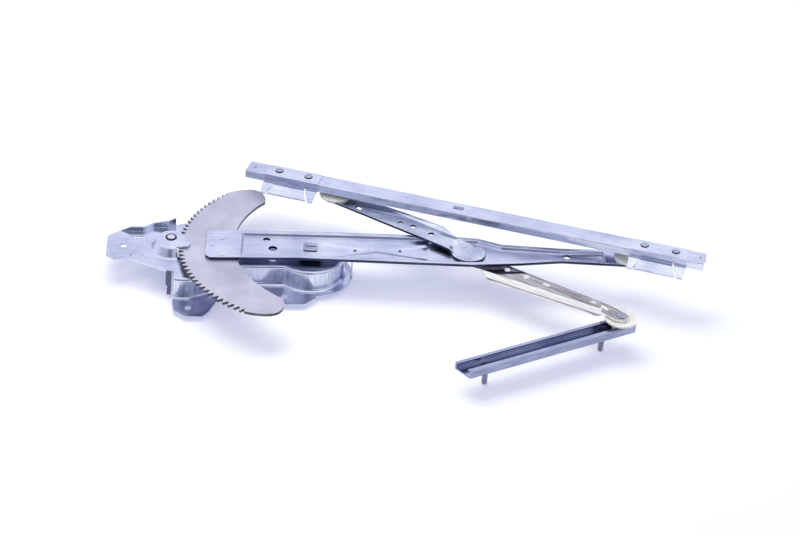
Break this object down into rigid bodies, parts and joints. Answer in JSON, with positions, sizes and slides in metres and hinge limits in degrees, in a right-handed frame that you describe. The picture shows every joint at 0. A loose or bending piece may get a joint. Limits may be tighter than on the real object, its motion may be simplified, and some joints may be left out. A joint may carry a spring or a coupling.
{
  "type": "window regulator",
  "caption": "Scissor window regulator without its motor: toothed sector, lift arm, crossed equalizer, nylon rollers, lift rail and guide rail.",
  "frame": {"origin": "centre of the base plate's left foot hole, on the plane of the door panel", "axes": "+X from the drive pinion's axis towards the lift arm's pivot, +Z away from the door panel"},
  "size_m": [0.6257, 0.3175, 0.0635],
  "materials": {
    "zinc_plated_steel": "satin",
    "bare_gear_steel": "matte",
    "pin_steel": "satin",
    "bracket_steel": "satin",
    "bush_bronze": "satin",
    "white_nylon": "matte"
  },
  "bodies": {
    "base": {"base_plate": "zinc_plated_steel", "pivot_bush": "bush_bronze", "pinion_bush": "bush_bronze"},
    "lift_arm": {"lift_arm": "zinc_plated_steel", "sector_gear": "bare_gear_steel", "pivot_pin": "pin_steel", "pivot_clip": "pin_steel", "right_roller_pin": "pin_steel"},
    "drive_pinion": {"drive_pinion": "pin_steel"},
    "equalizer": {"upper_equalizer_arm": "zinc_plated_steel", "lower_equalizer_arm": "zinc_plated_steel", "centre_pin": "pin_steel", "centre_washer_upper": "pin_steel", "centre_washer_lower": "pin_steel", "left_roller_pin": "pin_steel", "guide_roller_pin": "pin_steel"},
    "right_roller": {"right_roller": "white_nylon"},
    "left_roller": {"left_roller": "white_nylon"},
    "guide_roller": {"guide_roller": "white_nylon"},
    "lift_rail": {"lift_rail": "zinc_plated_steel", "left_glass_bracket": "bracket_steel", "right_glass_bracket": "bracket_steel", "left_bracket_rivets": "pin_steel", "right_bracket_rivets": "pin_steel"},
    "guide_rail": {"guide_rail": "zinc_plated_steel", "guide_rail_studs": "pin_steel"}
  },
  "joints": [
    {"name": "arm_swing", "type": "hinge", "parent": "base", "child": "lift_arm", "pos_m": [0.12, 0.078, 0.028], "axis": [0, 0, 1], "range_deg": [-49, 33]},
    {"name": "pinion_spin", "type": "hinge", "parent": "base", "child": "drive_pinion", "pos_m": [-0.02513, 0.078, 0.028], "axis": [0, 0, 1], "range_deg": [-445, 660]},
    {"name": "equalizer_swing", "type": "hinge", "parent": "lift_arm", "child": "equalizer", "pos_m": [0.2849, 0.08376, 0.032], "axis": [0, 0, 1], "range_deg": [-67, 99]},
    {"name": "right_roller_turn", "type": "hinge", "parent": "lift_arm", "child": "right_roller", "pos_m": [0.4548, 0.08969, 0.04], "axis": [0, 0, 1], "range_deg": [-34, 50]},
    {"name": "left_roller_turn", "type": "hinge", "parent": "equalizer", "child": "left_roller", "pos_m": [0.14136, 0.17485, 0.042], "axis": [0, 0, 1], "range_deg": [-50, 34]},
    {"name": "lift_rail_slide", "type": "slide", "parent": "left_roller", "child": "lift_rail", "axis": [0.965, -0.2622, 0], "range_m": [-0.01, 0.01]},
    {"name": "guide_roller_turn", "type": "hinge", "parent": "equalizer", "child": "guide_roller", "pos_m": [0.43951, -0.00841, 0.02], "axis": [0, 0, 1], "range_deg": [-50, 40]},
    {"name": "guide_rail_slide", "type": "slide", "parent": "guide_roller", "child": "guide_rail", "axis": [0.8721, 0.4894, 0], "range_m": [0, 0.165]}
  ],
  "couplings": [
    {"joint": "pinion_spin", "follows": "arm_swing", "ratio": -13.333},
    {"joint": "equalizer_swing", "follows": "arm_swing", "ratio": -2},
    {"joint": "right_roller_turn", "follows": "arm_swing", "ratio": -1},
    {"joint": "left_roller_turn", "follows": "arm_swing", "ratio": 1}
  ]
}
